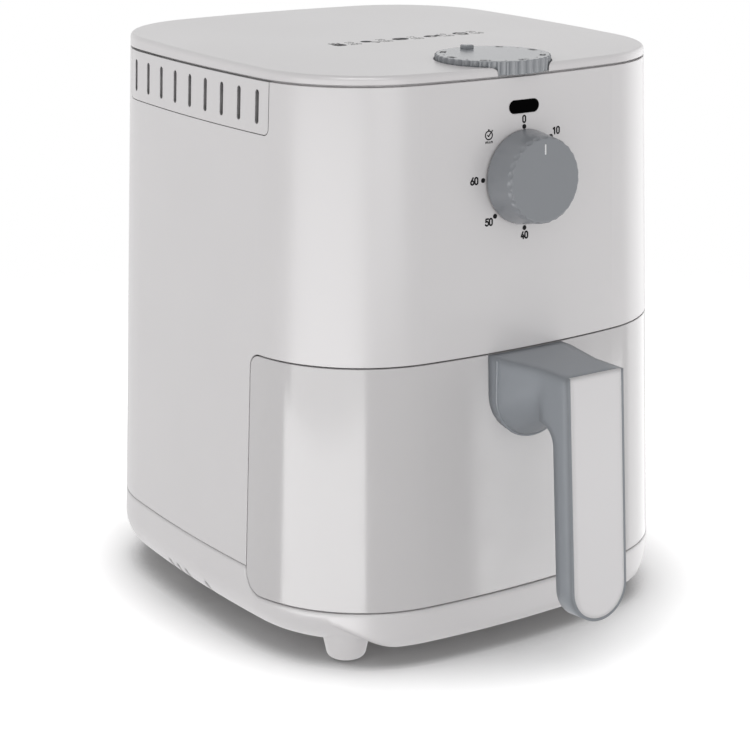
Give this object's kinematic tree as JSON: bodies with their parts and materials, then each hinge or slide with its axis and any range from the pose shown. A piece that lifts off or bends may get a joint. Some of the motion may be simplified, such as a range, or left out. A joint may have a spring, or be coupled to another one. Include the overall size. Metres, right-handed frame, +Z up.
{
  "type": "air fryer",
  "caption": "Countertop air fryer with a pull-out pan drawer, front timer knob, temperature dial let into the lid, slotted side vents and a rear air outlet.",
  "frame": {"origin": "On the table plane, under the middle of the overall box.", "axes": "+Z is up, the drawer opens towards -Y, +X is to the right for a person who faces the drawer."},
  "size_m": [0.2472, 0.3528, 0.296],
  "materials": {
    "satin_white": "satin moulded plastic, fine texture",
    "gloss_white": "polished moulded plastic",
    "grey_plastic": "blue-grey satin plastic",
    "pale_plate": "satin moulded plastic",
    "black_lens": "polished smoked window",
    "black_rubber": "matte rubber",
    "coated_steel": "dark non-stick coating",
    "sheet_steel": "plain rolled sheet",
    "plain_steel": "turned or pressed steel",
    "element_sheath": "oxidised sheath",
    "fan_aluminium": "pressed sheet",
    "dark_plastic": "moulded heat-resistant plastic",
    "ceramic_white": "unglazed ceramic, matte",
    "copper_tube": "drawn copper tube",
    "motor_case": "stamped case",
    "amber_lamp": "clear amber lamp"
  },
  "bodies": {
    "housing": {"base_tray": "satin_white", "outer_shell": "satin_white", "vent_panel_left": "satin_white", "vent_panel_right": "satin_white", "top_cover": "satin_white", "outlet_hood": "satin_white", "indicator_lens": "black_lens", "foot_pads": "black_rubber", "cord_gland": "black_rubber", "pan_bay": "sheet_steel", "heat_chamber": "sheet_steel", "air_duct": "sheet_steel", "motor_bracket": "sheet_steel", "thermostat_bracket": "sheet_steel", "element_clips": "sheet_steel", "element_guard": "sheet_steel", "base_screws": "plain_steel", "timer_screws": "plain_steel", "motor_screws": "plain_steel", "timer_bell": "plain_steel", "heating_element": "element_sheath", "timer_body": "dark_plastic", "thermostat_body": "dark_plastic", "drawer_switch": "dark_plastic", "terminal_block": "dark_plastic", "drawer_rails": "dark_plastic", "element_bushings": "ceramic_white", "thermal_fuse": "ceramic_white", "thermostat_capillary": "copper_tube", "motor": "motor_case", "indicator_lamp": "amber_lamp"},
    "drawer": {"drawer_front": "gloss_white", "pan": "coated_steel", "pan_support": "dark_plastic", "handle_bracket": "grey_plastic", "handle_cover": "pale_plate", "handle_screws": "plain_steel"},
    "grid": {"crisper_grid": "coated_steel", "grid_bumpers": "black_rubber"},
    "timer": {"timer_knob": "grey_plastic", "timer_spindle": "plain_steel"},
    "dial": {"temp_dial": "grey_plastic", "dial_tab": "grey_plastic", "dial_spindle": "plain_steel"},
    "rotor": {"motor_shaft": "plain_steel", "hot_fan": "fan_aluminium", "cooling_fan": "dark_plastic", "fan_nut": "plain_steel"},
    "plunger": {"switch_plunger": "dark_plastic"}
  },
  "joints": [
    {"name": "drawer_slide", "type": "slide", "parent": "housing", "child": "drawer", "axis": [0, -1, 0], "range_m": [0, 0.22]},
    {"name": "grid_lift", "type": "slide", "parent": "drawer", "child": "grid", "axis": [0, 0, 1], "range_m": [0, 0.085]},
    {"name": "timer_turn", "type": "hinge", "parent": "housing", "child": "timer", "pos_m": [0, -0.11019, 0.2379], "axis": [0, 0.9991, -0.0424], "range_deg": [0, 270]},
    {"name": "temp_dial_turn", "type": "hinge", "parent": "housing", "child": "dial", "pos_m": [0, -0.0835, 0.2922], "axis": [0, 0, 1], "range_deg": [-135, 135]},
    {"name": "fan_spin", "type": "hinge", "parent": "housing", "child": "rotor", "pos_m": [0, 0.001, 0.2222], "axis": [0, 0, 1], "continuous": true},
    {"name": "switch_press", "type": "slide", "parent": "housing", "child": "plunger", "axis": [0, 1, 0], "range_m": [0, 0.001], "stiffness_N_per_m": 250, "springref_m": -0.002}
  ]
}
